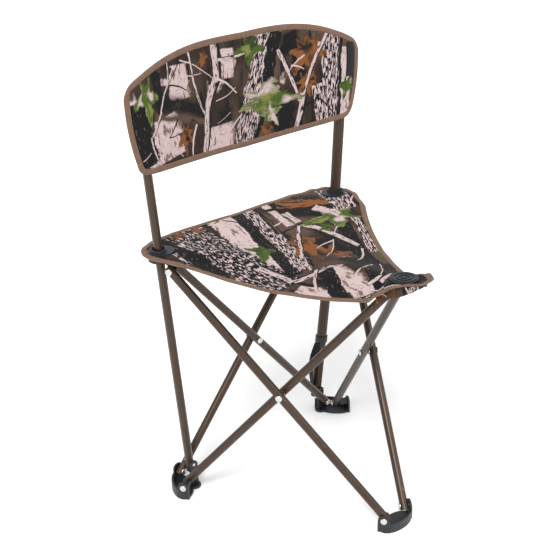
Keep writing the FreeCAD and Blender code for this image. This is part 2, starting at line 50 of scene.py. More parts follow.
CREASE_EDGE = {          # where the edges reach the creases
    ("right", "front"): 0.1775, ("front", "right"): 0.1695,
    ("right", "left"): 0.1825, ("left", "right"): 0.185,
    ("left", "front"): 0.166, ("front", "left"): 0.166,
}
BACK_EDGE = 0.185
FOLD_R = 0.224           # where the seat cloth bends at each hub
CORNER_R = {"front": 0.030, "right": 0.056, "left": 0.060}
DISC = {"front": (0.0, -0.250), "right": (0.2225, 0.128), "left": (-0.2225, 0.128)}
DISC_R = 0.0245          # cloth is held flat under the cap and the collars
CLAMP_Z = {"front": 0.5007, "right": 0.5092, "left": 0.5092}
TIP_Z = {"front": 0.5092, "right": 0.5075, "left": 0.5075}
CENTRE_Z = 0.482
BACK_EDGE_Z = 0.5100     # middles of the seat's back and side edges
SIDE_EDGE_Z = 0.4675
HOLE_R = {"front": 0.004, "right": 0.019, "left": 0.019}    # cut-outs under the cap and collars
PANEL_COLUMNS = 81
PANEL_ROWS = 46
CORNER_RINGS = 18
CLOTH_T = 0.0016         # thicknesses
SLEEVE_T = 0.0012
LABEL_T = 0.0008
UP = Vector((0, 0, 1))
FORWARD = Vector((0, -1, 0))

TAPE_W = 0.0100
TAPE_HALF = 0.0016
TAPE_PUCKER = 0.16
TAPE_STEPS = 70
CORNER_TAPE_STEPS = (18, 30, 18)
# Top half of the tape's section: share of its width inwards, share of its half thickness up
TAPE_RING = ((1.0, 0.55), (0.94, 0.86), (0.72, 1.0), (0.45, 1.04), (0.20, 0.98), (0.04, 0.72),
             (-0.07, 0.30))
STITCH_STEP = 0.0040
STITCH_LINE = 0.76       # share of the tape's width
STITCH_SIDES = 6
STITCH_RINGS = ((-0.00135, 0.00012), (-0.0008, 0.00036), (0.0008, 0.00036), (0.00135, 0.00012))

BACK_BOTTOM_Z = 0.655
BACK_TOP_Z = 0.8665
BACK_CROWN = 0.0260
BACK_ENDS = {-1: (0.2835, 0.0165), 1: (0.2800, 0.0170)}    # half width, taper below
BACK_DIPS = {-1: (0.0070, 1.0), 1: (0.0135, 1.3)}           # rise of the lower edge and its power
BACK_BOW = 0.029
BACK_FRONT_Y = 0.1154
BACK_TOP_CORNER = 0.017
BACK_LOW_CORNER = 0.021
BACK_HIGH_Z = 0.806      # above this and below the next, the corners round and the ends hold still
BACK_LOW_Z = 0.682
BACK_WIDEST_Z = 0.795
BACK_MEAN_END = 0.279    # rough half width, to space the points
BACK_HEM = 0.0006        # the cloth stops this far inside the tape's outer edge
BACK_STEPS = 48
BACK_CORNER_STEPS = 12
BACK_RISE_STEPS = 40
BACK_END_STEPS = 22
SLEEVE_Z = 0.690
SLEEVE_CLOSING_Z = 0.786
SLEEVE_TALL = 0.108
SLEEVE_WIDE = 0.038
SLEEVE_DEPTH = 0.0248
LABEL_Z = 0.752
LABEL_TALL = 0.066
LABEL_WIDE = 0.022
LABEL_IN = 0.034         # from the backrest's end to the label's inner edge

POST_FOOT_X = 0.193      # lower ends of the posts' middle lines
POST_FOOT_Z = 0.050
POST_LEAN = 0.033 / 0.433    # sideways for each metre up
POCKET_Y = -0.229        # where the pocket starts, ahead of the axis
TIP_Y = -0.262           # where the front flap starts to be drawn in
STRAP_Z = 0.060
STRAP_TALL = 0.108
STRAP_W = 0.0135

FLOOR_HALF = 60.0
CAMERA_ANGLES = (-42.846, 23.575, -1.2907)    # azimuth, elevation and roll in degrees
CAMERA_TARGET = (-0.05464, 0.0585, 0.44309)
CAMERA_DISTANCE = 1.82589
CAMERA_LENS = 64.04

MM = 1000                # per metre; the print is listed in millimetres on the cloth
# Printed motifs from the bottom layer up: kind, start x and y, end x and y, width
BACK_PRINT = [
    ("patch", -160, 835, -160, 775, 46.3), ("patch", -199, 754, -184, 678, 65.4),
    ("patch", -62, 710, -61, 666, 75.7), ("patch", -35, 844, -38, 791, 30.9),
    ("blur", -224, 786, -93, 742, 25.3), ("brown", -222, 757, -102, 726, 10.7),
    ("blur", -62, 723, -30, 725, 27.4), ("dark", -262, 788, -245, 674, 42.2),
    ("dark", -215, 834, -211, 783, 19.6), ("blur", 106, 856, 120, 814, 44.4),
    ("blur", 74, 723, 109, 674, 67.2), ("dark", 123, 822, 136, 746, 24.6),
    ("patch", 243, 811, 238, 672, 34.8), ("bark", 176, 747, 186, 674, 32.5),
    ("bark", 216, 844, 205, 674, 46.2), ("rust", 135, 853, 166, 770, 84.9),
    ("rust", 139, 779, 156, 728, 51.3), ("bark", 65, 864, -1, 658, 57.4),
    ("dark", 78, 863, 55, 738, 23), ("pale", 84, 825, 132, 720, 11.3),
    ("twig", 145, 807, 112, 783, 3.4), ("twig", 114, 791, 144, 781, 3.5),
    ("pale", 201, 846, 143, 732, 10.3), ("pale", 143, 733, 122, 666, 17.2),
    ("ink", 145, 710, 176, 719, 4.6), ("ink", 175, 719, 215, 680, 3.8),
    ("rust", -150, 737, -151, 679, 46.1), ("rust", -88, 855, -105, 813, 24.3),
    ("rust", 39, 693, 62, 664, 30.2), ("twig", -156, 841, -73, 795, 2.8),
    ("twig", -145, 813, -103, 810, 2.4), ("pale", -134, 854, -126, 812, 6),
    ("pale", -126, 814, -98, 739, 6.5), ("pale", -68, 865, -67, 788, 23.9),
    ("pale", -66, 792, -93, 736, 20.9), ("pale", -91, 740, -105, 661, 19),
    ("pale", -59, 828, 7, 832, 7.5), ("twig", -68, 796, -17, 760, 4.7),
    ("twig", -68, 755, -19, 771, 2.3), ("pale", -186, 844, -190, 803, 3.8),
    ("pale", -190, 804, -209, 761, 4.5), ("pale", -207, 764, -234, 722, 5.8),
    ("pale", -233, 726, -216, 672, 4.6), ("ink", -158, 841, -187, 808, 2.9),
    ("twig", -103, 664, -6, 719, 5.9), ("ink", -170, 743, -191, 715, 3.1),
    ("ink", -191, 715, -155, 720, 2.4), ("twig", -201, 703, -159, 674, 2.8),
    ("twig", -122, 724, -135, 669, 5.8), ("ink", -188, 805, -143, 788, 3.4),
    ("twig", -256, 687, -236, 699, 2.2), ("twig", -35, 728, -68, 715, 1.4),
    ("olive", -241, 835, -233, 749, 49.5), ("green", 19, 866, 16, 807, 69.2),
    ("olive", -31, 744, 132, 729, 77.2), ("olive", 51, 733, 80, 684, 42.9),
    ("green", 251, 761, 238, 707, 38.2),
]
SEAT_PRINT = [
    ("patch", -40, 189, -64, -34, 73), ("brown", 29, 148, 34, 40, 83.6),
    ("blur", 68, 164, 163, 77, 56.6), ("brown", 136, 28, 87, -125, 64.2),
    ("blur", 38, -79, 48, -137, 63.1), ("blur", 72, 13, 76, -49, 73.1),
    ("patch", -30, -104, -48, -230, 43.5), ("patch", -102, -99, -78, -161, 33.5),
    ("patch", -160, 16, -132, -22, 22.9), ("rust", -132, -29, -116, -61, 31.1),
    ("dark", -33, -96, -83, -200, 27), ("dark", 47, -133, -13, -247, 73.2),
    ("rustbar", 94, 167, 191, 103, 34.6), ("dark", -185, 177, -136, 12, 113),
    ("crust", -138, 190, -112, -84, 84), ("bark", -173, 134, -169, 96, 21),
    ("bark", -209, 106, -207, 63, 13), ("dark", -1, 189, -72, -62, 29.9),
    ("bark", 30, 176, -22, -31, 31), ("bark", 12, 77, -46, -63, 36),
    ("patch", 71, 180, 69, 158, 17), ("patch", 67, 148, 60, 87, 19.2),
    ("patch", 85, 130, 80, 86, 14.9), ("ink", 38, 151, 22, 69, 4.6),
    ("twig", 30, 103, 67, 112, 4.1), ("rust", 52, 74, 0, -54, 72.8),
    ("rust", 15, -40, 78, -53, 84.8), ("bark", 224, 160, 186, 60, 38.2),
    ("bark", 238, 126, 210, 63, 37.9), ("twig", 221, 74, 261, 101, 3.6),
    ("dark", 150, 35, 46, -190, 33), ("bark", 189, 37, 126, -78, 23.3),
    ("pale", 77, 79, -44, -73, 9.3), ("pale", 85, 72, 117, -42, 19.7),
    ("twig", 86, -4, 33, -13, 3.8), ("twig", 89, -1, 15, -54, 3), ("twig", 139, 32, 108, 13, 3.5),
    ("twig", 113, -54, 47, -102, 5.1), ("pale", -23, -159, 56, -129, 6.3),
    ("pale", 81, -127, -12, -208, 4.4), ("pale", -30, -195, -8, -209, 12.3),
    ("pale", -20, -216, 13, -223, 14.5), ("ink", -87, -65, -76, -115, 13.9),
    ("pale", -105, -2, -88, -74, 20.2), ("pale", -89, -72, -26, -90, 15.5),
    ("pale", -26, -89, -7, -115, 9.6), ("pale", -38, -81, -84, -129, 8.8),
    ("ink", 24, 71, 73, 80, 4.9), ("ink", 73, 80, 100, 72, 8.2),
    ("twig", -38, -212, -34, -242, 2.7), ("ink", -68, 166, -15, 199, 2.4),
    ("ink", -41, 169, -18, 128, 4.8), ("olive", 221, 42, 81, 73, 72.7),
    ("patch", 164, 55, 145, 107, 21.8), ("green", 129, 37, 89, 36, 28),
    ("maple", -35, 72, -81, 11, 60.5), ("rust", -162, 180, -149, 154, 42.4),
    ("rust", -126, 177, -99, 157, 32.5), ("green", 129, -74, 106, -115, 11),
    ("green", 74, -228, 74, -242, 20.6), ("dark", -52, -246, 66, -262, 44),
    ("crust", 108, -150, 66, -214, 24), ("pale", 34, -206, 74, -258, 7.5),
    ("pale", -50, -232, -8, -284, 8.0), ("twig", 16, -292, 64, -246, 5.0),
    ("bark", -66, -206, -34, -236, 16), ("rust", 30, -268, 58, -280, 20),
]


# ---- shader graphs ------------------------------------------------------------------------
def srgb(red, green, blue):
    """Linear colour from the usual 0 to 255 numbers."""
    linear = []
    for value in (red / 255, green / 255, blue / 255):
        linear.append(value / 12.92 if value < 0.04 else ((value + 0.055) / 1.055) ** 2.4)
    return (*linear, 1.0)


class Graph:
    """Adds nodes to a node tree and wires them."""

    def __init__(self, tree):
        self.tree = tree

    def add(self, kind, inputs, **settings):
        node = self.tree.nodes.new("ShaderNode" + kind)
        for key, value in settings.items():
            setattr(node, key, value)
        self.fill(node, inputs)
        return node

    def fill(self, node, inputs):
        """Links the sockets given as sources and sets the others."""
        for key, value in inputs.items():
            if isinstance(value, bpy.types.NodeSocket):
                self.tree.links.new(value, node.inputs[key])
            else:
                node.inputs[key].default_value = value

    def math(self, operation, *values, clamp=False):
        inputs = dict(enumerate(values))
        return self.add("Math", inputs, operation=operation, use_clamp=clamp).outputs[0]

    def mix(self, share, low, high):
        return self.add("Mix", {0: share, 6: low, 7: high}, data_type="RGBA").outputs[2]

    def noise(self, place, scale, detail=2.0, rough=0.5, dimensions="2D"):
        inputs = {"Vector": place, "Scale": scale, "Detail": detail, "Roughness": rough}
        return self.add("TexNoise", inputs, noise_dimensions=dimensions).outputs["Fac"]

    def noise3(self, *values):
        return self.noise(*values, dimensions="3D")

    def vector(self, operation, one, other):
        return self.add("VectorMath", {0: one, 1: other}, operation=operation).outputs[0]

    def split(self, place):
        node = self.add("SeparateXYZ", {0: place})
        return node.outputs[0], node.outputs[1]

    def step(self, value, start, slope):
        """0 below start and 1 above it, with a soft edge."""
        over = self.math("SUBTRACT", value, start)
        return self.math("MULTIPLY", over, slope, clamp=True)


def new_material(name, coordinates="Object"):
    """Material, its graph and the coordinates that its patterns follow."""
    material = bpy.data.materials.new(name)
    material.use_nodes = True
    graph = Graph(material.node_tree)
    return material, graph, graph.add("TexCoord", {}).outputs[coordinates]


def finish_material(material, graph, shading, bump=None):
    """Sets the shader's sockets; bump is a height, a strength and a distance in metres."""
    shader = graph.tree.nodes["Principled BSDF"]
    graph.fill(shader, shading)
    if bump:
        inputs = dict(zip(("Height", "Strength", "Distance"), bump))
        graph.fill(shader, {"Normal": graph.add("Bump", inputs).outputs[0]})
    return material


def sockets(kind, names):
    return [(name, kind) for name in names.split()]


def make_group(name, listed):
    """Node group with the listed sockets in, and a colour and the passed-on place out."""
    tree = bpy.data.node_groups.new(name, "ShaderNodeTree")
    for label, kind in listed:
        tree.interface.new_socket(label, in_out="INPUT", socket_type="NodeSocket" + kind)
    for label, kind in (("Color", "Color"), ("Place", "Vector")):
        tree.interface.new_socket(label, in_out="OUTPUT", socket_type="NodeSocket" + kind)
    given = tree.nodes.new("NodeGroupInput").outputs
    return Graph(tree), {label: given[label] for label, kind in listed}


def finish_group(graph, given, mask, ink):
    """Lays the ink over the base. The place goes out by way of the mask, so motifs run in turn."""
    inputs = {0: mask, 1: (1e-7, 0.0, 0.0), 2: given["Place"]}
    passed = graph.add("VectorMath", inputs, operation="MULTIPLY_ADD").outputs[0]
    result = graph.tree.nodes.new("NodeGroupOutput")
    graph.fill(result, {0: graph.mix(mask, given["Base"], ink), 1: passed})


def local_place(graph, given):
    """The motif's own coordinates, and the same moved by its seed for its noise."""
    inputs = {"Vector": given["Place"], "Location": given["Start"], "Rotation": given["Turn"]}
    inputs["Scale"] = given["Size"]
    local = graph.add("Mapping", inputs, vector_type="TEXTURE").outputs[0]
    return local, graph.vector("ADD", local, given["Seed"])


PLACE_SOCKETS = sockets("Color", "Base") + sockets("Vector", "Place Start Turn Size Seed")


def stroke_group():
    """A printed trunk, branch, twig or soft patch along the local X axis, in metres."""
    listed = PLACE_SOCKETS + sockets("Float", "Length Half Bark Shade Soft Ragged Bend Taper Line")
    listed += sockets("Color", "Light Dark") + sockets("Vector", "Grain")
    graph, given = make_group("print_stroke", listed)
    local, spot = local_place(graph, given)
    x, y = graph.split(local)
    wander = graph.math("SUBTRACT", graph.noise(spot, 38.0, 3.0, 0.62), 0.5)
    side = graph.math("MULTIPLY_ADD", wander, given["Ragged"], y)
    run = graph.math("DIVIDE", x, given["Length"], clamp=True)
    arch = graph.math("MULTIPLY", run, graph.math("SUBTRACT", 1.0, run))
    side = graph.math("MULTIPLY_ADD", arch, given["Bend"], side)
    thin = graph.math("SUBTRACT", 1.0, graph.math("MULTIPLY", run, given["Taper"]))
    half = graph.math("MULTIPLY", given["Half"], thin)
    inner = graph.math("SUBTRACT", half, graph.math("ABSOLUTE", side))
    half_length = graph.math("MULTIPLY", given["Length"], 0.5)
    ends = graph.math("ABSOLUTE", graph.math("SUBTRACT", x, half_length))
    ends = graph.math("SUBTRACT", half_length, graph.math("MULTIPLY_ADD", wander, 0.004, ends))
    room = graph.math("MINIMUM", inner, ends)
    mask = graph.math("ADD", graph.math("DIVIDE", room, given["Soft"]), 0.5, clamp=True)
    grain = graph.noise(graph.vector("MULTIPLY", spot, given["Grain"]), 1.0, 2.5, 0.55)
    furrow = graph.step(grain, given["Bark"], 14.0)
    off_line = graph.math("ABSOLUTE", graph.math("SUBTRACT", wander, -0.04))
    line = graph.math("SUBTRACT", given["Line"], graph.math("MULTIPLY", off_line, 55.0), clamp=True)
    furrow = graph.math("MAXIMUM", furrow, line)
    shade = graph.step(graph.math("DIVIDE", side, given["Half"]), given["Shade"], 5.0)
    dark = graph.math("MAXIMUM", furrow, shade)
    finish_group(graph, given, mask, graph.mix(dark, given["Light"], given["Dark"]))


def leaf_group():
    """A printed lobed leaf; the local X axis points to its tip, about 1 away."""
    listed = PLACE_SOCKETS + sockets("Color", "Body Edge Blotch") + sockets("Float", "Amount Lobes")
    graph, given = make_group("print_leaf", listed)
    local, spot = local_place(graph, given)
    fray = graph.math("SUBTRACT", graph.noise(spot, 3.4, 3.0, 0.6), 0.5)
    x, y = graph.split(local)
    square = graph.math("ADD", graph.math("MULTIPLY", x, x), graph.math("MULTIPLY", y, y))
    reach = graph.math("SQRT", square)
    turn = graph.math("ARCTAN2", y, x)
    valley = graph.math("ABSOLUTE", graph.math("SINE", graph.math("MULTIPLY", turn, given["Lobes"])))
    point = graph.math("POWER", graph.math("SUBTRACT", 1.0, valley), 0.95)
    lean = graph.math("MULTIPLY_ADD", graph.math("COSINE", turn), 0.26, 0.74)
    size = graph.math("MULTIPLY", graph.math("MULTIPLY_ADD", point, 0.60, 0.50), lean)
    size = graph.math("MULTIPLY_ADD", fray, 0.62, size)
    inside = graph.math("SUBTRACT", size, reach)
    mask = graph.math("MULTIPLY", inside, 26.0, clamp=True)
    tone = graph.noise(spot, 2.1, 2.0, 0.55)
    colour = graph.mix(graph.step(tone, 0.47, 5.0), given["Body"], given["Edge"])
    blotch = graph.noise(graph.vector("ADD", spot, (7.3, 1.9, 0.0)), 1.5, 1.5, 0.4)
    hollow = graph.math("MULTIPLY", inside, 4.0, clamp=True)
    blotch = graph.math("MULTIPLY", graph.step(blotch, given["Amount"], 9.0), hollow)
    colour = graph.mix(blotch, colour, given["Blotch"])
    rib = graph.math("MULTIPLY", graph.math("MULTIPLY", valley, reach), 22.0)
    rib = graph.math("SUBTRACT", 1.0, rib, clamp=True)
    colour = graph.mix(graph.math("MULTIPLY", rib, 0.42), colour, LEAF_RIB)
    finish_group(graph, given, mask, colour)


PALE = srgb(193, 173, 171)
PALE_SHADE = srgb(118, 95, 85)
INK = srgb(13, 15, 18)
BROWN = srgb(84, 65, 55)
UMBER = srgb(45, 34, 28)
GREEN = srgb(66, 86, 28)
DEEP_GREEN = srgb(42, 60, 22)
LIME = srgb(118, 122, 66)
RUST = srgb(126, 76, 38)
DARK_RUST = srgb(80, 49, 27)
LEAF_RIB = srgb(62, 62, 34)
LEAF_CENTRE = 0.42       # where a leaf's middle is along its motif
# kind: light, dark, grain, bark threshold, shaded side, soft edge, ragged, bend, taper, lines
STROKES = {
    "patch": (PALE, PALE_SHADE, (40, 120, 0), 0.60, 0.72, 0.0022, 0.034, 0.0, 0.0, 0.9),
    "blur": (INK, UMBER, (18, 40, 0), 0.62, 2.0, 0.0120, 0.014, 0.0, 0.0, 0.0),
    "brown": (BROWN, UMBER, (14, 50, 0), 0.60, 2.0, 0.0060, 0.018, 0.0, 0.0, 0.0),
    "dark": (INK, PALE_SHADE, (80, 260, 0), 0.66, 2.0, 0.0014, 0.014, 0.10, 0.0, 0.0),
    "bark": (PALE, INK, (75, 300, 0), 0.455, 0.52, 0.0010, 0.013, 0.06, 0.0, 0.0),
    "crust": (INK, PALE, (105, 230, 0), 0.53, 2.0, 0.0030, 0.020, 0.04, 0.0, 0.0),
    "pale": (PALE, INK, (60, 320, 0), 0.56, 0.30, 0.0007, 0.0055, 0.16, 0.30, 0.0),
    "twig": (PALE, UMBER, (40, 200, 0), 0.80, 0.75, 0.0006, 0.0040, 0.22, 0.55, 0.0),
    "ink": (INK, UMBER, (40, 200, 0), 0.80, 2.0, 0.0008, 0.0045, 0.20, 0.40, 0.0),
    "rustbar": (RUST, INK, (24, 120, 0), 0.54, 2.0, 0.0020, 0.018, 0.0, 0.3, 0.0),
}
# kind: body, edge, blotch, blotch threshold, lobes
LEAVES = {
    "green": (GREEN, DEEP_GREEN, LIME, 0.60, 2.5),
    "olive": (GREEN, LIME, PALE, 0.47, 2.5),
    "maple": (GREEN, DEEP_GREEN, LIME, 0.80, 2.0),
    "rust": (RUST, DARK_RUST, INK, 0.60, 3.5),
}


def stroke_values(motif, number):
    """Group and inputs that draw one stroke."""
    kind, x0, y0, x1, y1, width = motif
    light, dark, grain, bark, shade, soft, ragged, bend, taper, lines = STROKES[kind]
    length = math.hypot(x1 - x0, y1 - y0) / MM
    half = width / 2 / MM
    return "print_stroke", {
        "Start": (x0 / MM, y0 / MM, 0), "Turn": (0, 0, math.atan2(y1 - y0, x1 - x0)),
        "Size": (1, 1, 1), "Seed": (number * 0.37, number * 0.11, 0), "Length": length,
        "Half": half, "Light": light, "Dark": dark, "Grain": grain, "Bark": bark,
        "Shade": shade, "Soft": soft, "Ragged": min(ragged, half * 1.2 + 0.0016),
        "Bend": bend * length * (1 if number % 2 else -1), "Taper": taper, "Line": lines,
    }


def leaf_values(motif, number):
    """Group and inputs that draw one leaf, centred a little way along its motif."""
    kind, x0, y0, x1, y1, width = motif
    body, edge, blotch, amount, lobes = LEAVES[kind]
    start = ((x0 + (x1 - x0) * LEAF_CENTRE) / MM, (y0 + (y1 - y0) * LEAF_CENTRE) / MM, 0)
    return "print_leaf", {
        "Start": start, "Turn": (0, 0, math.atan2(y1 - y0, x1 - x0)),
        "Size": (math.hypot(x1 - x0, y1 - y0) / 1.6 / MM, width / 1.5 / MM, 1),
        "Seed": (number * 1.7, number * 0.9, 0), "Body": body, "Edge": edge,
        "Blotch": blotch, "Amount": amount, "Lobes": lobes,
    }


def print_ground(graph, place):
    """Blurred woodland behind the drawn trunks and leaves."""
    broad = graph.noise(place, 9.0, 2.0, 0.5)
    colour = graph.mix(graph.step(broad, 0.42, 5.0), UMBER, BROWN)
    streak = graph.noise(graph.vector("MULTIPLY", place, (60, 14, 0)), 1.0, 2.0, 0.5)
    colour = graph.mix(graph.step(streak, 0.56, 7.0), colour, INK)
    pale = graph.noise(graph.vector("ADD", place, (3.1, 5.7, 0)), 17.0, 3.0, 0.55)
    return graph.mix(graph.step(pale, 0.64, 16.0), colour, PALE)


def weave_height(graph, place, step):
    """Over-and-under plain weave."""
    x, y = graph.split(place)
    turn = 2 * math.pi / step
    warp = graph.math("SINE", graph.math("MULTIPLY", x, turn))
    weft = graph.math("SINE", graph.math("MULTIPLY", y, turn))
    return graph.math("MULTIPLY_ADD", graph.math("MULTIPLY", warp, weft), 0.5, 0.5)


def camo_material(name, motifs):
    """Printed cloth: the motifs are drawn in turn over a blurred ground, on the cloth's own map."""
    material, graph, place = new_material(name, "UV")
    drift = graph.add("TexNoise", {"Vector": place, "Scale": 16.0, "Detail": 2.0}).outputs["Color"]
    drift = graph.vector("SUBTRACT", drift, (0.5, 0.5, 0.5))
    drawn = graph.vector("ADD", place, graph.vector("MULTIPLY", drift, (0.007, 0.007, 0.0)))
    colour = print_ground(graph, drawn)
    for number, motif in enumerate(motifs, 1):
        values_of = stroke_values if motif[0] in STROKES else leaf_values
        group_name, values = values_of(motif, number)
        values.update({"Base": colour, "Place": drawn})
        group = graph.add("Group", values, node_tree=bpy.data.node_groups[group_name])
        colour, drawn = group.outputs
    height = weave_height(graph, place, 0.0011)
    wear = graph.noise(place, 24.0, 3.0, 0.6)
    colour = graph.mix(graph.math("MULTIPLY", wear, 0.03), colour, srgb(150, 140, 134))
    colour = graph.mix(graph.math("MULTIPLY", height, 0.10), colour, INK)
    shading = {"Base Color": colour, "Roughness": graph.math("MULTIPLY_ADD", wear, 0.16, 0.66)}
    shading.update({"Sheen Weight": 0.03, "Sheen Roughness": 0.5, "Specular IOR Level": 0.10})
    return finish_material(material, graph, shading, (height, 0.5, 0.0003))


def tape_material(name, colour, rib):
    """Ribbed woven tape: u runs along it and v across, in metres."""
    material, graph, place = new_material(name, "UV")
    x, y = graph.split(place)
    ribs = graph.math("SINE", graph.math("MULTIPLY", x, 2 * math.pi / rib))
    cross = graph.math("SINE", graph.math("MULTIPLY", y, 2 * math.pi / (rib * 1.6)))
    height = graph.math("MULTIPLY_ADD", graph.math("MULTIPLY", ribs, cross), 0.35, 0.5)
    tone = graph.noise(place, 60.0, 3.0, 0.6)
    light = tuple(min(1, c * 1.28) for c in colour[:3]) + (1.0,)
    dark = tuple(c * 0.74 for c in colour[:3]) + (1.0,)
    shade = graph.mix(tone, dark, light)
    shade = graph.mix(graph.math("MULTIPLY", height, 0.22), shade, dark)
    shading = {"Base Color": shade, "Roughness": graph.math("MULTIPLY_ADD", tone, 0.2, 0.62)}
    shading.update({"Sheen Weight": 0.08, "Specular IOR Level": 0.15})
    return finish_material(material, graph, shading, (height, 0.6, 0.0004))


def paint_material():
    """Bronze powder coat with a fine orange-peel and light scuffs."""
    material, graph, place = new_material("frame_paint_finish")
    cloud = graph.noise3(place, 14.0, 3.0, 0.55)
    colour = graph.mix(cloud, srgb(54, 41, 31), srgb(76, 60, 47))
    grit = graph.noise3(place, 900.0, 1.0, 0.5)
    colour = graph.mix(graph.step(grit, 0.62, 6.0), colour, srgb(96, 77, 62))
    scuff = graph.noise3(graph.vector("MULTIPLY", place, (160, 160, 26)), 1.0, 2.0, 0.6)
    scuff = graph.math("MULTIPLY", graph.step(scuff, 0.66, 8.0), 0.3)
    colour = graph.mix(scuff, colour, srgb(164, 148, 132))
    shading = {"Base Color": colour, "Roughness": graph.math("MULTIPLY_ADD", cloud, 0.14, 0.32)}
    shading.update({"Metallic": 0.6, "Coat Weight": 0.15, "Coat Roughness": 0.3})
    peel = graph.noise3(place, 420.0, 2.0, 0.5)
    return finish_material(material, graph, shading, (peel, 0.10, 0.0004))


def plastic_material():
    """Moulded black nylon with a fine spark texture and dusty patches."""
    material, graph, place = new_material("black_plastic_finish")
    dust = graph.noise3(place, 32.0, 3.0, 0.6)
    colour = graph.mix(graph.step(dust, 0.35, 2.0), srgb(20, 22, 25), srgb(38, 41, 45))
    shading = {"Base Color": colour, "Roughness": graph.math("MULTIPLY_ADD", dust, 0.25, 0.34)}
    shading["Specular IOR Level"] = 0.5
    spark = graph.noise3(place, 1500.0, 2.0, 0.6)
    return finish_material(material, graph, shading, (spark, 0.16, 0.0003))


def steel_material():
    material, graph, place = new_material("rivet_steel_finish")
    worn = graph.noise3(place, 260.0, 3.0, 0.6)
    colour = graph.mix(worn, srgb(176, 176, 176), srgb(232, 232, 230))
    shading = {"Base Color": colour, "Roughness": graph.math("MULTIPLY_ADD", worn, 0.22, 0.14)}
    shading["Metallic"] = 1.0
    return finish_material(material, graph, shading, (worn, 0.08, 0.0002))


def floor_material():
    material, graph, place = new_material("studio_floor")
    tone = graph.noise3(place, 3.0, 2.0, 0.5)
    colour = graph.mix(tone, srgb(248, 248, 248), srgb(252, 252, 252))
    shading = {"Base Color": colour, "Roughness": 0.9, "Specular IOR Level": 0.1}
    return finish_material(material, graph, shading)


# ---- mesh building ------------------------------------------------------------------------
def make_object(name, points, faces, uvs, materials, marks=None):
    """Mesh object from points round the stool's axis; marks is a material index per face."""
    mesh = bpy.data.meshes.new(name)
    mesh.from_pydata([(p[0], p[1] + AXIS_Y, p[2]) for p in points], [], faces)
    layer = mesh.uv_layers.new(name="cloth")
    for loop in mesh.loops:
        layer.data[loop.index].uv = uvs[loop.vertex_index]
    for material in materials:
        mesh.materials.append(material)
    for index, polygon in enumerate(mesh.polygons):
        polygon.use_smooth = True
        if marks:
            polygon.material_index = marks[index]
    piece = bpy.data.objects.new(name, mesh)
    bpy.context.scene.collection.objects.link(piece)
    return piece


def grid_faces(rows, columns, closed=False):
    """Quads between neighbouring rows; a closed grid joins its last row to its first."""
    faces = []
    for i in range(rows if closed else rows - 1):
        for j in range(columns - 1):
            a, b = i * columns + j, (i + 1) % rows * columns + j
            faces.append((a, a + 1, b + 1, b))
    return faces


def point_normals(points, faces):
    normals = [Vector((0, 0, 0)) for point in points]
    for face in faces:
        normal = (points[face[1]] - points[face[0]]).cross(points[face[2]] - points[face[0]])
        for index in face:
            normals[index] += normal
    return [normal.normalized() for normal in normals]


def thicken(points, faces, uvs, thickness):
    """Closed shell round a sheet, half its thickness to each side."""
    normals = point_normals(points, faces)
    half = thickness / 2
    count = len(points)
    shell = [p + n * half for p, n in zip(points, normals)]
    shell += [p - n * half for p, n in zip(points, normals)]
    closed = list(faces) + [tuple(i + count for i in reversed(face)) for face in faces]
    borders = {}
    for face in faces:
        for one, other in zip(face, face[1:] + face[:1]):
            if (other, one) in borders:
                del borders[(other, one)]
            else:
                borders[(one, other)] = True
    closed += [(other, one, one + count, other + count) for one, other in borders]
    return shell, closed, uvs + uvs


def cloth_object(name, sheet, thickness, material, way=None):
    """Thickened cloth from a sheet's points, faces and map places; its front looks along way."""
    points, faces, uvs = sheet
    if way is not None:
        total = sum(point_normals(points, faces), Vector((0, 0, 0)))
        if total.dot(way) < 0:
            faces = [tuple(reversed(face)) for face in faces]
    shell, closed, places = thicken(points, faces, uvs, thickness)
    return make_object(name, shell, closed, places, [material])


def grid_sheet(rows, columns, spot_at):
    """Points, faces and map places of a sheet; spot_at(i, j) gives a point and its place."""
    spots = [spot_at(i, j) for i in range(rows) for j in range(columns)]
    points, uvs = [spot[0] for spot in spots], [spot[1] for spot in spots]
    return points, grid_faces(rows, columns), uvs


# ---- seat shape ---------------------------------------------------------------------------
def polar(radius, degrees):
    angle = math.radians(degrees)
    return Vector((radius * math.cos(angle), radius * math.sin(angle)))


def others(corner):
    return [name for name in HUB_ANGLE if name != corner]


def face_normal(one, other):
    return (polar(1, HUB_ANGLE[one]) + polar(1, HUB_ANGLE[other])).normalized()


def face_run(corner, other):
    return (polar(1, HUB_ANGLE[corner]) - polar(1, HUB_ANGLE[other])).normalized()


def edge_distance(corner, other, v=1.0):
    """Distance of a seat edge from the axis; v is 0 at its middle and 1 at the corner's crease."""
    middle = SIDE_EDGE if "front" in (corner, other) else BACK_EDGE
    return middle + (CREASE_EDGE[corner, other] - middle) * v


def sideways(corner, other):
    out = polar(1, HUB_ANGLE[corner])
    side = Vector((-out.y, out.x))
    return side if side.dot(polar(1, HUB_ANGLE[other])) > 0 else -side


def crease_end(corner, other, inset, v=1.0):
    distance = edge_distance(corner, other, v) - inset
    width = (distance - 0.5 * FOLD_R) / math.sin(math.radians(60))
    return polar(FOLD_R, HUB_ANGLE[corner]) + sideways(corner, other) * width


def smooth(t):
    t = max(0.0, min(1.0, t))
    return t * t * (3 - 2 * t)


def climb(v, share):
    return 3 * share * v * v * (1 - v) + v ** 3


def spine_z(corner, v):
    """Height of the seat's low line from its centre to a corner's crease."""
    return CENTRE_Z + (CLAMP_Z[corner] - CENTRE_Z) * climb(v, 0.75)


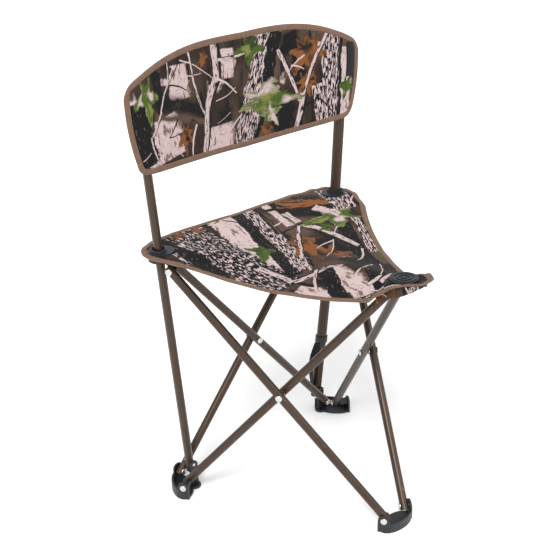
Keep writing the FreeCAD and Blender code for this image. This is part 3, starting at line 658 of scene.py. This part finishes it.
def edge_z(corner, other, v):
    """Height of a seat edge, from its middle to a corner's crease."""
    if "front" not in (corner, other):
        lift = 0.0012 if corner == "left" else 0.0
        return BACK_EDGE_Z + 0.0015 * climb(v, 0.4) + lift * smooth(v / 0.3)
    slack = 0.0 if "left" in (corner, other) else -0.002
    if corner == "front":
        return SIDE_EDGE_Z + slack - 0.0026 * smooth(v / 0.5) + 0.0046 * v ** 4
    return SIDE_EDGE_Z + slack + 0.0335 * (0.55 * v + 0.45 * v * v) ** 0.9


def ripple(x, y):
    """Small unevenness of the stretched cloth, with pull lines near the hubs."""
    height = 0.0016 * noise.noise((x * 13, y * 13, 3.1))
    height += 0.0007 * noise.noise((x * 31, y * 31, 8.7))
    for corner, (cx, cy) in DISC.items():
        dx, dy = x - cx, y - cy
        reach = math.hypot(dx, dy)
        held = smooth((reach - 0.028) / 0.03)
        fade = math.exp(-max(0.0, reach - 0.05) / 0.06)
        lines = math.sin(math.atan2(dy, dx) * 8 + 2.0 * noise.noise((dx * 20, dy * 20, 1.3)))
        height = height * held + 0.0013 * lines * held * fade
    return height


def panel_point(corner, other, across, v, inset=0.0):
    """Point of a seat panel; across is 0 on the spine and 1 at the edge shared with other."""
    normal = face_normal(corner, other)
    middle = normal * edge_distance(corner, other, 0.0)
    spine = polar(FOLD_R * v, HUB_ANGLE[corner])
    edge = middle + (crease_end(corner, other, 0.0, v) - middle) * v
    line = edge - spine
    if inset:
        across = across - inset / line.normalized().dot(normal) / line.length
    plan = spine + line * across
    low = spine_z(corner, v)
    height = low + (edge_z(corner, other, v) - low) * smooth(across)
    return Vector((plan.x, plan.y, height + ripple(plan.x, plan.y)))


def signed_panel_point(corner, u, v):
    one, other = others(corner)
    return panel_point(corner, one if u < 0 else other, abs(u), v)


def outline(corner, inset, counts=(14, 22, 14)):
    """Plan points of a seat corner's edge, from one crease end round the tip to the other."""
    one, other = others(corner)
    a, b = crease_end(corner, one, inset), crease_end(corner, other, inset)
    run_a, run_b = face_run(corner, one), face_run(corner, other)
    cross = run_a.x * run_b.y - run_a.y * run_b.x
    gap = b - a
    apex = a + run_a * ((gap.x * run_b.y - gap.y * run_b.x) / cross)
    radius = CORNER_R[corner] - inset
    reach = radius / math.tan(math.radians(30))
    start, end = apex - run_a * reach, apex - run_b * reach
    centre = apex - (run_a + run_b).normalized() * (radius / math.sin(math.radians(30)))
    first = math.atan2(start.y - centre.y, start.x - centre.x)
    last = math.atan2(end.y - centre.y, end.x - centre.x)
    sweep = (last - first + math.pi) % (2 * math.pi) - math.pi
    points = [a + (start - a) * (k / counts[0]) for k in range(counts[0])]
    for k in range(counts[1]):
        angle = first + sweep * k / counts[1]
        points.append(centre + Vector((math.cos(angle), math.sin(angle))) * radius)
    points += [end + (b - end) * (k / counts[2]) for k in range(counts[2] + 1)]
    return points


def drift_tip(corner, plan):
    """The front flap's tip is drawn in and hangs a little to one side."""
    if corner != "front":
        return plan
    share = smooth((TIP_Y - plan.y) / 0.045)
    return Vector((plan.x + 0.0020 * share, plan.y + 0.0045 * share))


class CornerShape:
    """Seat corner: flat under its disc, out to the seat's edge and in to the crease."""

    def __init__(self, corner):
        self.corner = corner
        self.centre = Vector(DISC[corner])
        one, other = others(corner)
        edge = outline(corner, 0.0)
        lengths = [0.0]
        for k in range(1, len(edge)):
            lengths.append(lengths[-1] + (edge[k] - edge[k - 1]).length)
        start_z, end_z = edge_z(corner, one, 1.0), edge_z(corner, other, 1.0)
        self.rim = []
        for plan, run in zip(edge, lengths):
            height = TIP_Z[corner]
            rise = 0.070 if corner == "front" else 0.085
            height += (start_z - TIP_Z[corner]) * max(0.0, 1 - run / rise) ** 1.7
            height += (end_z - TIP_Z[corner]) * max(0.0, 1 - (lengths[-1] - run) / rise) ** 1.7
            self.rim.append((plan, height))
        self.edge_count = len(self.rim)
        for k in range(1, PANEL_COLUMNS - 1):
            u = 1 - 2 * k / (PANEL_COLUMNS - 1)
            point = signed_panel_point(corner, u, 1.0)
            plan = Vector((point.x, point.y))
            self.rim.append((plan, point.z - ripple(point.x, point.y)))

    def hit(self, way):
        """Reach and height of the rim in a direction from the centre."""
        for k in range(len(self.rim)):
            (a, za), (b, zb) = self.rim[k], self.rim[(k + 1) % len(self.rim)]
            pa, pb = a - self.centre, b - self.centre
            side_a = way.x * pa.y - way.y * pa.x
            side_b = way.x * pb.y - way.y * pb.x
            if side_a * side_b > 0 or side_a == side_b:
                continue
            share = side_a / (side_a - side_b)
            spot = pa + (pb - pa) * share
            if spot.dot(way) > 0:
                return spot.length, za + (zb - za) * share
        raise ValueError("no rim that way")

    def height(self, plan):
        away = plan - self.centre
        if away.length < DISC_R:
            return CLAMP_Z[self.corner]
        reach, rim_z = self.hit(away.normalized())
        share = max(0.0, (away.length - DISC_R) / (reach - DISC_R))
        flat = CLAMP_Z[self.corner]
        return flat + (rim_z - flat) * share ** 1.35 + ripple(plan.x, plan.y)

    def point(self, plan):
        moved = drift_tip(self.corner, plan)
        return Vector((moved.x, moved.y, self.height(plan)))


def seat_panel(corner):
    def spot_at(row, column):
        u = 2 * column / (PANEL_COLUMNS - 1) - 1
        point = signed_panel_point(corner, u, row / (PANEL_ROWS - 1))
        return point, (point.x, point.y)

    sheet = grid_sheet(PANEL_ROWS, PANEL_COLUMNS, spot_at)
    return cloth_object("cloth_seat_%s_panel" % corner, sheet, CLOTH_T, SEAT_PRINTED, UP)


def seat_corner(corner, shape):
    hole = HOLE_R[corner]
    points, uvs = [], []
    for plan, height in shape.rim:
        away = plan - shape.centre
        for k in range(CORNER_RINGS):
            share = (k / (CORNER_RINGS - 1)) ** 0.9
            spot = shape.centre + away.normalized() * (hole + (away.length - hole) * share)
            points.append(shape.point(spot))
            uvs.append((spot.x, spot.y))
    faces = grid_faces(len(shape.rim), CORNER_RINGS, closed=True)
    sheet = points, faces, uvs
    return cloth_object("cloth_seat_%s_corner" % corner, sheet, CLOTH_T, SEAT_PRINTED, UP)


# ---- binding tape -------------------------------------------------------------------------
def tape(points_at, count, seed):
    """Folded tape along an edge; points_at(k, inset) is on the cloth. Returns mesh lists."""
    points, uvs, faces, frames = [], [], [], []
    run = 0.0
    ring = list(TAPE_RING) + [(inset, -height) for inset, height in reversed(TAPE_RING)]
    edge = [points_at(k, 0.0) for k in range(count)]
    for k in range(count):
        ahead, behind = edge[min(k + 1, count - 1)], edge[max(k - 1, 0)]
        along = (ahead - behind).normalized()
        inner = points_at(k, TAPE_W)
        inward = inner - edge[k]
        inward = (inward - along * inward.dot(along)).normalized()
        up = along.cross(inward).normalized()
        if k:
            run += (edge[k] - edge[k - 1]).length
        frames.append((along, up, run, points_at(k, TAPE_W * STITCH_LINE)))
        half = TAPE_HALF * (1 + TAPE_PUCKER * noise.noise((run * 140, seed, 0.0)))
        for inset, height in ring:
            spot = inner if inset == 1.0 else points_at(k, TAPE_W * max(0.0, inset))
            spot = spot + inward * min(0.0, inset) * TAPE_W
            points.append(spot + up * (height * half))
            uvs.append((run, inset * TAPE_W + (0.03 if height < 0 else 0.0)))
    size = len(ring)
    for k in range(count - 1):
        for i in range(size):
            j = (i + 1) % size
            faces.append((k * size + i, k * size + j, (k + 1) * size + j, (k + 1) * size + i))
    faces.append(tuple(range(size - 1, -1, -1)))
    faces.append(tuple((count - 1) * size + i for i in range(size)))
    marks = [0] * len(faces)
    for side in (1, -1):
        add_stitches(points, uvs, faces, marks, frames, side)
    return points, uvs, faces, marks


def add_stitches(points, uvs, faces, marks, frames, side):
    """Row of short raised stitches near the tape's inner edge."""
    goal = STITCH_STEP / 2
    for (along, up, run_a, spot_a), (_, _, run_b, spot_b) in zip(frames, frames[1:]):
        while run_a <= goal < run_b:
            share = (goal - run_a) / (run_b - run_a)
            centre = spot_a + (spot_b - spot_a) * share + up * (side * TAPE_HALF)
            add_stitch(points, uvs, faces, marks, centre, along, up * side)
            goal += STITCH_STEP


def add_stitch(points, uvs, faces, marks, centre, along, up):
    across = along.cross(up)
    base, sides = len(points), STITCH_SIDES
    for reach, radius in STITCH_RINGS:
        for k in range(sides):
            angle = 2 * math.pi / sides * k
            offset = across * math.cos(angle) + up * math.sin(angle)
            points.append(centre + along * reach + offset * radius)
            uvs.append((reach, radius * k))
    last = len(STITCH_RINGS) - 1
    for ring in range(last):
        for k in range(sides):
            a, b = base + ring * sides + k, base + ring * sides + (k + 1) % sides
            faces.append((a, a + sides, b + sides, b))
    faces.append(tuple(base + k for k in range(sides)))
    faces.append(tuple(base + last * sides + k for k in range(sides - 1, -1, -1)))
    marks.extend([1] * (last * sides + 2))


def join_lists(parts):
    points, uvs, faces, marks = [], [], [], []
    for part_points, part_uvs, part_faces, part_marks in parts:
        shift = len(points)
        points += part_points
        uvs += part_uvs
        faces += [tuple(i + shift for i in face) for face in part_faces]
        marks += part_marks
    return points, uvs, faces, marks


def tape_object(name, parts):
    points, uvs, faces, marks = join_lists(parts)
    return make_object(name, points, faces, uvs, [TAPE, THREAD], marks)


def kept_lines(line_at):
    """Gives points_at(k, inset) from line_at(inset), which is worked out once for each inset."""
    lines = {}

    def points_at(k, inset):
        key = round(inset, 6)
        if key not in lines:
            lines[key] = line_at(inset)
        return lines[key][k]

    return points_at


def seat_panel_tape(corner):
    parts = []
    for seed, other in enumerate(others(corner)):
        def points_at(k, inset):
            return panel_point(corner, other, 1.0, k / (TAPE_STEPS - 1), inset)

        parts.append(tape(points_at, TAPE_STEPS, seed))
    return tape_object("tape_seat_%s_panel" % corner, parts)


def seat_corner_tape(corner, shape):
    def line_at(inset):
        return [shape.point(plan) for plan in outline(corner, inset, CORNER_TAPE_STEPS)]

    parts = [tape(kept_lines(line_at), sum(CORNER_TAPE_STEPS) + 1, 5.0)]
    return tape_object("tape_seat_%s_corner" % corner, parts)


# ---- backrest -----------------------------------------------------------------------------
def post_x(z):
    """How far to the side the posts' middle line is at a height."""
    return POST_FOOT_X + POST_LEAN * (z - POST_FOOT_Z)


def back_end(side, z):
    """Half width of the backrest; the ends taper in below and lean in a little above."""
    full, taper = BACK_ENDS[side]
    below, above = max(0.0, (BACK_WIDEST_Z - z) / 0.11), max(0.0, (z - BACK_WIDEST_Z) / 0.03)
    return full - taper * below ** 2 - 0.003 * above ** 2


def back_end_held(side, z):
    """Half width of the backrest, held still inside its rounded corners."""
    return back_end(side, min(BACK_HIGH_Z, max(BACK_LOW_Z, z)))


def back_y(x, z):
    share = min(1.0, abs(x) / (post_x(z) - 0.004))
    return BACK_FRONT_Y + BACK_BOW * (1 - share * share) ** 1.5


def round_drop(gap, radius):
    if gap >= radius:
        return 0.0
    return radius - math.sqrt(max(0.0, radius * radius - (radius - gap) ** 2))


def back_top(side, x, inset):
    end = back_end(side, BACK_HIGH_Z) - inset
    crown = BACK_TOP_Z - BACK_CROWN * (x / 0.230) ** 3.5
    if side > 0:
        crown += 0.0038 * math.sin(math.pi * min(1.0, x / 0.215))
    return crown - inset * 1.02 - round_drop(end - x, BACK_TOP_CORNER - inset)


def back_bottom(side, x, inset):
    end = back_end(side, BACK_LOW_Z) - inset
    rise, power = BACK_DIPS[side]
    dip = BACK_BOTTOM_Z + rise * (x / 0.224) ** power
    return dip + inset + round_drop(end - x, BACK_LOW_CORNER - inset)


def back_ripple(x, z):
    """Small unevenness, with upright pull lines beside the posts."""
    height = 0.0014 * noise.noise((x * 11, z * 11, 5.5)) + 0.0006 * noise.noise((x * 28, z * 28, 2.2))
    beside = math.exp(-((abs(x) - post_x(z) + 0.030) / 0.016) ** 2)
    return height + 0.0008 * beside * noise.noise((x * 70, z * 9, 4.4))


def back_point(side, x, z):
    return Vector((side * x, back_y(x, z) + back_ripple(side * x, z), z))


def back_row(side, share, inset, steps):
    """Points from bottom to top at a share of the way out from the middle."""
    low = back_bottom(side, (back_end(side, BACK_LOW_Z) - inset) * share, inset)
    high = back_top(side, (back_end(side, BACK_HIGH_Z) - inset) * share, inset)
    heights = [low + (high - low) * t for t in steps]
    return [back_point(side, (back_end_held(side, z) - inset) * share, z) for z in heights]


def back_shares(inset):
    """Shares of the way out, close together where the corners round."""
    start = 1 - (BACK_TOP_CORNER - inset) / (BACK_MEAN_END - inset)
    shares = [start * k / BACK_STEPS for k in range(BACK_STEPS + 1)]
    ease = [math.sin(math.pi / 2 * k / BACK_CORNER_STEPS) for k in range(1, BACK_CORNER_STEPS + 1)]
    return shares + [start + (1 - start) * share for share in ease]


def back_half(side, name):
    shares = back_shares(BACK_HEM)
    steps = [k / BACK_RISE_STEPS for k in range(BACK_RISE_STEPS + 1)]
    rows = [back_row(side, share, BACK_HEM, steps) for share in shares]

    def spot_at(i, j):
        return rows[i][j], (rows[i][j].x, rows[i][j].z)

    sheet = grid_sheet(len(shares), len(steps), spot_at)
    return cloth_object("cloth_backrest_%s" % name, sheet, CLOTH_T, BACK_PRINTED, FORWARD)


def back_tape(side, name):
    def line_at(inset):
        shares = back_shares(inset)
        low = [back_row(side, share, inset, [0.0])[0] for share in shares]
        top = [back_row(side, share, inset, [1.0])[0] for share in reversed(shares)]
        rise = []
        for k in range(1, BACK_END_STEPS):
            z = low[-1].z + (top[0].z - low[-1].z) * (k / BACK_END_STEPS)
            rise.append(back_point(side, back_end_held(side, z) - inset, z))
        return low + rise + top

    parts = [tape(kept_lines(line_at), len(line_at(0.0)), 9.0 + side)]
    return tape_object("tape_backrest_%s" % name, parts)


def sleeve(side, name):
    """Pocket behind the backrest that the post runs up inside; closed at its top."""
    across, upright = 28, 26

    def spot_at(i, j):
        t = i / across
        z = SLEEVE_Z + SLEEVE_TALL * j / upright
        closing = 1 - smooth((z - SLEEVE_CLOSING_Z) / 0.012)
        depth = SLEEVE_DEPTH * math.sin(math.pi * t) ** 0.6 * (0.06 + 0.94 * closing)
        depth *= 1 + 0.05 * noise.noise((t * 3, z * 30, side * 4.0))
        x = post_x(z) - SLEEVE_WIDE / 2 + SLEEVE_WIDE * t
        point = Vector((side * x, back_y(x, z) + 0.0016 + depth, z))
        return point, (side * (x + 0.10), z)

    sheet = grid_sheet(across + 1, upright + 1, spot_at)
    return cloth_object("cloth_sleeve_%s" % name, sheet, SLEEVE_T, BACK_PRINTED, -FORWARD)


def tag():
    """Blank label on the front of the backrest, a little inside its right end."""
    columns, rows = 12, 30

    def spot_at(i, j):
        z = LABEL_Z + LABEL_TALL * j / rows
        x = back_end(1, z) - LABEL_IN + LABEL_WIDE * i / columns
        lift = 0.0011 + 0.0006 * math.sin(math.pi * i / columns)
        return back_point(1, x, z) - Vector((0, lift, 0)), (x, z)

    sheet = grid_sheet(columns + 1, rows + 1, spot_at)
    return cloth_object("label_backrest", sheet, LABEL_T, LABEL, FORWARD)


# ---- pocket and strap ---------------------------------------------------------------------
def pocket():
    """Cloth skirt under the seat's front corner, in front of the tube ends."""
    line = [plan for plan in outline("front", 0.009, (40, 34, 40)) if plan.y < POCKET_Y]
    rows = 10

    def spot_at(i, j):
        plan, share, t = line[i], i / (len(line) - 1), j / rows
        tip = math.sin(math.pi * share) ** 4
        deep = 0.0195 - 0.0125 * tip + 0.0022 * noise.noise((share * 11, 0.4, 1.0))
        tuck = 1 - 0.07 * tip * t + 0.010 * t * noise.noise((share * 16, t * 1.5, 6.0))
        spot = Vector((plan.x * tuck, POCKET_Y + (plan.y - POCKET_Y) * tuck))
        spot = drift_tip("front", spot)
        z = FRONT_SHAPE.height(plan) - 0.0018 - deep * t
        return Vector((spot.x, spot.y, z)), (share * 0.21 - 0.175, z - 0.535)

    sheet = grid_sheet(len(line), rows + 1, spot_at)
    return cloth_object("cloth_pocket", sheet, CLOTH_T, SEAT_PRINTED)


def post_centre(side, z):
    """A post's middle line, which leans from beside its heel to behind the seat's edge."""
    start = 0.1255 if side < 0 else 0.1515
    share = min(1.0, (z - POST_FOOT_Z) / 0.418)
    return Vector((side * post_x(z), start + (0.128 - start) * share, z))


def strap():
    """Webbing loop on the inner side of the right post's lower end."""
    columns, rows = 6, 40

    def spot_at(i, j):
        across, t = STRAP_W * (i / columns - 0.5), j / rows
        z = STRAP_Z + STRAP_TALL * t
        centre = post_centre(1, z)
        bulge = 0.013 * math.sin(math.pi * t)
        twist = 0.25 * math.sin(2 * math.pi * t) * across
        return Vector((centre.x - 0.0115 - bulge + twist, centre.y + across, z)), (z, across)

    sheet = grid_sheet(columns + 1, rows + 1, spot_at)
    return cloth_object("webbing_strap", sheet, CLOTH_T, WEBBING)


# ---- assembly -----------------------------------------------------------------------------
def tangent(corner):
    side = Vector((-polar(1, HUB_ANGLE[corner]).y, polar(1, HUB_ANGLE[corner]).x))
    return (side.x, side.y, 0.0)


def settle(piece, node, body):
    """Stands the piece in for its CAD node, on that node's body."""
    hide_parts(node)
    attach(piece, body)


def place_seat():
    for corner in HUB_ANGLE:
        shape = FRONT_SHAPE if corner == "front" else CornerShape(corner)
        body, node = "seat_%s_cloth" % corner, "seat_%s_panel" % corner
        panel, panel_tape = seat_panel(corner), seat_panel_tape(corner)
        settle(panel, node, body)
        settle(panel_tape, node + "_binding", body)
        anchor = polar(0.15, HUB_ANGLE[corner])
        for piece in (panel, panel_tape):
            tangent(corner)
            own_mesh(piece)
        body, node = corner + "_hub", "seat_%s_corner" % corner
        patch, edge = seat_corner(corner, shape), seat_corner_tape(corner, shape)
        settle(patch, node, body)
        settle(edge, node + "_binding", body)
    skirt = pocket()
    settle(skirt, "front_pocket", "front_hub")


def place_backrest():
    for side, name in ((-1, "left"), (1, "right")):
        body, post = "backrest_" + name, name + "_post"
        front, edge, rear = back_half(side, name), back_tape(side, name), sleeve(side, name)
        settle(front, body + "_half", body)
        settle(edge, body + "_binding", body)
        settle(rear, body + "_sleeve", body)
    label = tag()
    settle(label, "backrest_tag", "backrest_right")


def place_strap():
    webbing = strap()
    settle(webbing, "storage_strap", "right_post")


def paint_hard_parts():
    """Finishes go by the last word of a node's name; every other node is black plastic."""
    finishes = {"rivet": STEEL, "washer": STEEL, "pin": STEEL, "tube": PAINT, "post": PAINT}
    for name, node in NODES.items():
        ending = name.rsplit("_", 1)[-1].rstrip("s")
        for slot in node.material_slots:
            slot.material = finishes.get(ending, PLASTIC)


def add_sun(name, energy, turn, angle):
    data = bpy.data.lights.new(name, "SUN")
    data.energy = energy
    data.angle = angle
    lamp = bpy.data.objects.new(name, data)
    lamp.rotation_euler = [math.radians(degrees) for degrees in turn]
    bpy.context.scene.collection.objects.link(lamp)


def studio():
    mesh = bpy.data.meshes.new("studio_floor")
    corners = [(x * FLOOR_HALF, y * FLOOR_HALF, 0) for x, y in ((-1, -1), (1, -1), (1, 1), (-1, 1))]
    mesh.from_pydata(corners, [], [(0, 1, 2, 3)])
    mesh.materials.append(floor_material())
    floor = bpy.data.objects.new("studio_floor", mesh)
    bpy.context.scene.collection.objects.link(floor)
    floor.location.z = -0.0004
    world = bpy.data.worlds.new("studio")
    world.use_nodes = True
    background = world.node_tree.nodes["Background"]
    background.inputs["Color"].default_value = (1.0, 1.0, 1.0, 1.0)
    background.inputs["Strength"].default_value = 0.85
    bpy.context.scene.world = world
    add_sun("key", 2.1, (40, 8, -66), 0.35)
    add_sun("fill", 0.7, (55, 0, 20), 0.9)
    bpy.context.scene.view_settings.view_transform = "Standard"


def aim_camera():
    """Camera from its azimuth, elevation, roll, target and distance."""
    azimuth, elevation, roll = (math.radians(angle) for angle in CAMERA_ANGLES)
    back = Vector((math.sin(azimuth) * math.cos(elevation),
                   -math.cos(azimuth) * math.cos(elevation), math.sin(elevation)))
    right = Vector((math.cos(azimuth), math.sin(azimuth), 0))
    up = back.cross(right)
    across = right * math.cos(roll) + up * math.sin(roll)
    above = up * math.cos(roll) - right * math.sin(roll)
    data = bpy.data.cameras.new("camera")
    data.lens = CAMERA_LENS
    data.sensor_width = 36.0
    data.clip_end = 100.0
    camera = bpy.data.objects.new("camera", data)
    turn = Matrix((across, above, back)).transposed().to_4x4()
    target = Vector(CAMERA_TARGET)
    camera.matrix_world = Matrix.Translation(target + back * CAMERA_DISTANCE) @ turn
    bpy.context.scene.collection.objects.link(camera)
    bpy.context.scene.camera = camera


stroke_group()
leaf_group()
SEAT_PRINTED = camo_material("camo_seat_cloth", SEAT_PRINT)
BACK_PRINTED = camo_material("camo_backrest_cloth", BACK_PRINT)
TAPE = tape_material("binding_tape_weave", srgb(112, 88, 73), 0.0016)
THREAD = tape_material("binding_thread", srgb(124, 99, 82), 0.0006)
WEBBING = tape_material("black_webbing_weave", srgb(30, 31, 33), 0.0018)
LABEL = tape_material("label_satin", srgb(24, 25, 28), 0.0009)
PAINT = paint_material()
PLASTIC = plastic_material()
STEEL = steel_material()

FRONT_SHAPE = CornerShape("front")
paint_hard_parts()
place_seat()
place_backrest()
place_strap()
studio()
aim_camera()
